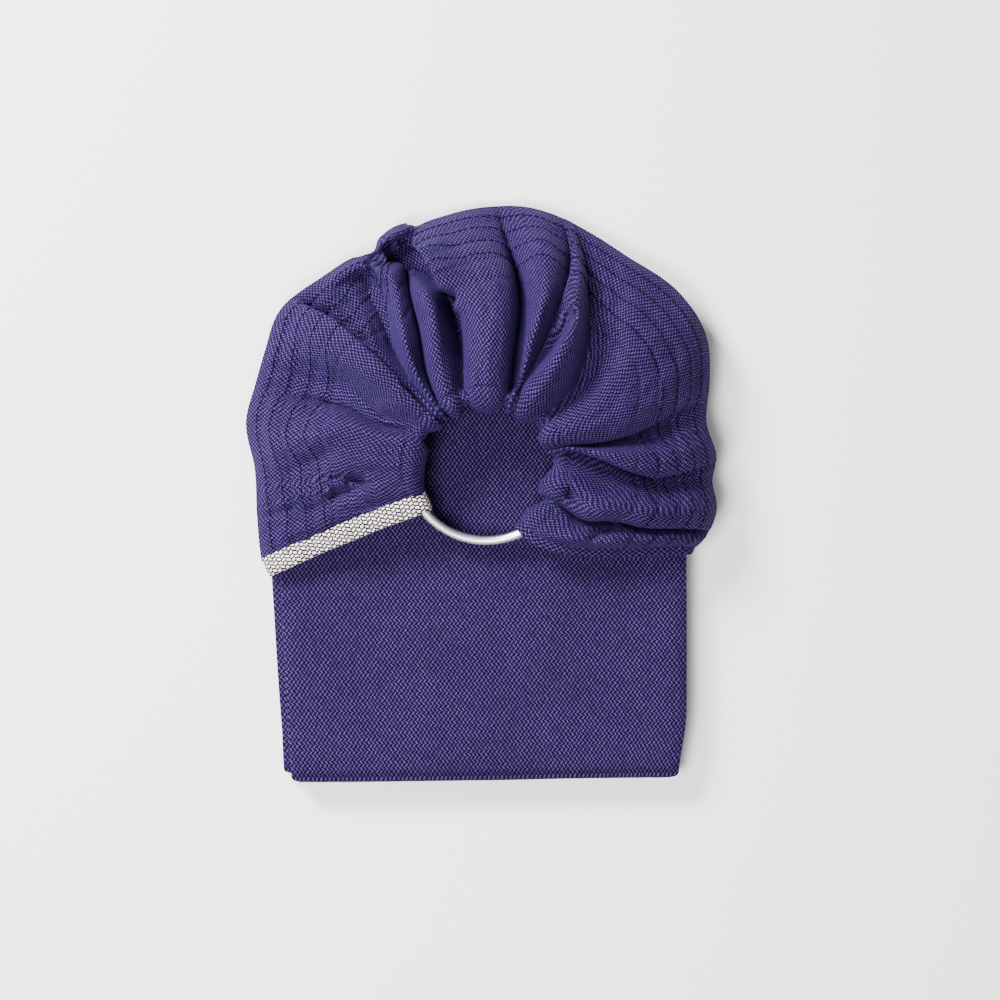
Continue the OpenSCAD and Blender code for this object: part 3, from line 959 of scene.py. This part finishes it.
left_rail = rail("contrast_rail_cloth", 0, RAIL_W, 1, rail_mat, "contrast_rail")
right_rail = rail("plain_rail_cloth", N_COLS - 1, RAIL_W / 2, -1, cloth_mat, "plain_rail")

# ---------------------------------------------------------------- apron: cloth to the far rim
APRON_LAP = 9 * MM              # how far it lies over the strip's end
APRON_SINK = 0.6 * MM           # its middle is this far below the packet's top
APRON_WAVE = 0.3 * MM           # unevenness of its surface
APRON_IN = 2.5 * MM             # it ends this far inside the rim
APRON_SPAN = (141, 38)          # degrees about the rings


def apron():
    """The cloth from the strip's end to the fan's far rim, under the fan."""
    angles = np.radians(np.linspace(*APRON_SPAN, 130))
    t = np.linspace(0, 1, 46)[:, None]
    near = (HEAD_Y - APRON_LAP - RING_Y) / np.sin(angles)
    far = rim_radius(np.degrees(angles)) - APRON_IN
    x, y = fan_place(angles, near + (far - near) * t)
    soft = fan_noise(x * 60, y * 30)
    z = deck_height(np.zeros_like(x), y) - APRON_SINK + APRON_WAVE * soft * np.clip(t * 3, 0, 1)
    grid = np.stack([x, y, z], -1)
    piece = grid_piece("head_apron_cloth", grid, face_corners(grid[..., :2] + 0.3))
    piece.data.materials.append(cloth_mat)
    thicken(piece)
    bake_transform(piece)
    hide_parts("head_apron")


apron()

# ---------------------------------------------------------------- rings
for name in ("front_ring", "back_ring"):
    node = bpy.data.objects[name]
    for slot in node.material_slots:
        slot.material = ring_mat
    node.data.polygons.foreach_set("use_smooth", np.ones(len(node.data.polygons), bool))

# ---------------------------------------------------------------- floor, light and camera
bpy.ops.mesh.primitive_plane_add(size=12, location=(0, 0, 0))
floor = bpy.context.object
floor.name = "floor"
paper = Nodes("floor_paper")
paper.shader.inputs["Base Color"].default_value = (0.93, 0.93, 0.935, 1)
paper.shader.inputs["Roughness"].default_value = 0.9
paper.shader.inputs["Specular IOR Level"].default_value = 0.1
floor.data.materials.append(paper.material)

world = bpy.data.worlds.new("studio")
bpy.context.scene.world = world
world.use_nodes = True
sky = world.node_tree.nodes["Background"]
sky.inputs["Color"].default_value = (1.0, 0.99, 1.0, 1)
sky.inputs["Strength"].default_value = 0.44
AIM = Vector((0, 0, 20 * MM))   # what the lights face


def area_light(name, place, size, power, colour):
    """A square light that faces the object."""
    lamp = bpy.data.lights.new(name, "AREA")
    lamp.shape = "SQUARE"
    lamp.size = size
    lamp.energy = power
    lamp.color = colour
    light = bpy.data.objects.new(name, lamp)
    bpy.context.scene.collection.objects.link(light)
    light.location = place
    light.rotation_euler = (AIM - Vector(place)).to_track_quat("-Z", "Y").to_euler()


area_light("key", (-0.85, 0.90, 0.95), 0.45, 76, (1.0, 0.985, 1.0))
area_light("top", (-0.36, -0.38, 1.24), 0.6, 38, (1.0, 1.0, 1.0))

VIEW_W = 0.560                  # width of the view at the height of the packet's top
VIEW_X, VIEW_Y = 10.8 * MM, -2.8 * MM  # the point straight below the camera
EYE = 1.7                       # height of the camera
SENSOR = 36                     # width of its sensor, in millimetres
camera = bpy.data.cameras.new("camera")
camera.type = "PERSP"
camera.clip_start, camera.clip_end = 0.05, 20
camera.sensor_width = SENSOR
camera.lens = SENSOR * (EYE - DECK) / VIEW_W
eye = bpy.data.objects.new("camera", camera)
bpy.context.scene.collection.objects.link(eye)
eye.location = (VIEW_X, VIEW_Y, EYE)
bpy.context.scene.camera = eye
